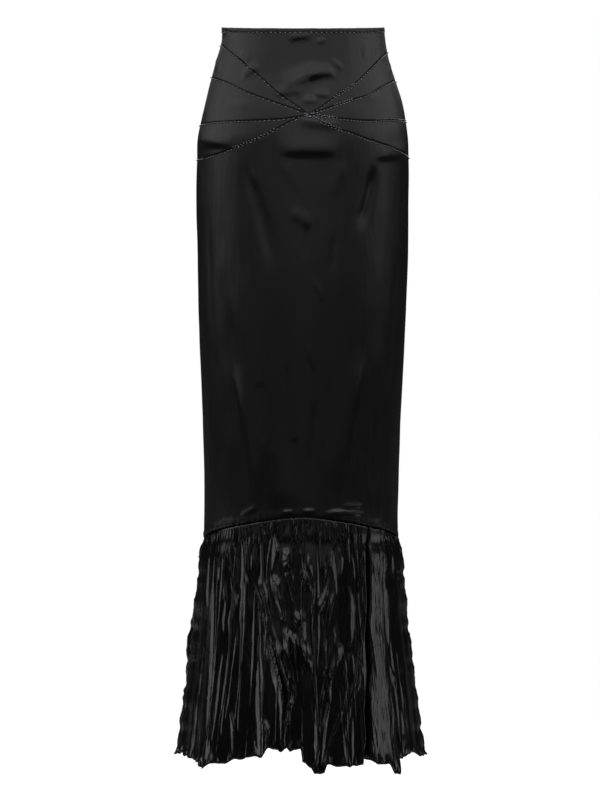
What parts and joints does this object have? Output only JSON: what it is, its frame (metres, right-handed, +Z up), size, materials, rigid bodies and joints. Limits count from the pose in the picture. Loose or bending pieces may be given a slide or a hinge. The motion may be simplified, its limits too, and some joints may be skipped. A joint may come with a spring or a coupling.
{
  "type": "maxi skirt",
  "caption": "Ankle-length satin skirt, filled out with no wearer: fan-seamed front yoke, narrow column, arched seam and a crushed-pleat flounce, with a concealed zip at the back.",
  "frame": {"origin": "middle of the waist opening, level with the waist edge at the side seams", "axes": "+Z up along the skirt, -Y to the front, +X to the wearer's left-hand side (the right-hand side of the picture)"},
  "size_m": [0.3825, 0.3207, 1.1002],
  "materials": {
    "satin": "heavy polyester satin, soft lengthwise sheen",
    "crushed_satin": "permanently crushed and pleated satin, sharp bright creases",
    "beads": "small black faceted beads, sewn along the seams",
    "thread": "black overlock and stitching thread",
    "zip_tape": "woven polyester tape",
    "zip_metal": "black enamel, semi-gloss"
  },
  "bodies": {
    "skirt": {"waist_binding": "satin", "front_top_panel": "satin", "front_upper_left": "satin", "front_middle_left": "satin", "front_lower_left": "satin", "front_upper_right": "satin", "front_middle_right": "satin", "front_lower_right": "satin", "front_skirt": "satin", "back_left": "satin", "back_right": "satin", "flounce_front": "crushed_satin", "flounce_back": "crushed_satin", "zip_tape": "zip_tape", "zip_slider": "zip_metal"},
    "pull_tab": {"zip_pull": "zip_metal"}
  },
  "joints": [
    {"name": "zip_pull_swing", "type": "hinge", "parent": "skirt", "child": "pull_tab", "pos_m": [0, 0.09648, -0.00096], "axis": [1, 0, 0], "range_deg": [0, 150]}
  ]
}
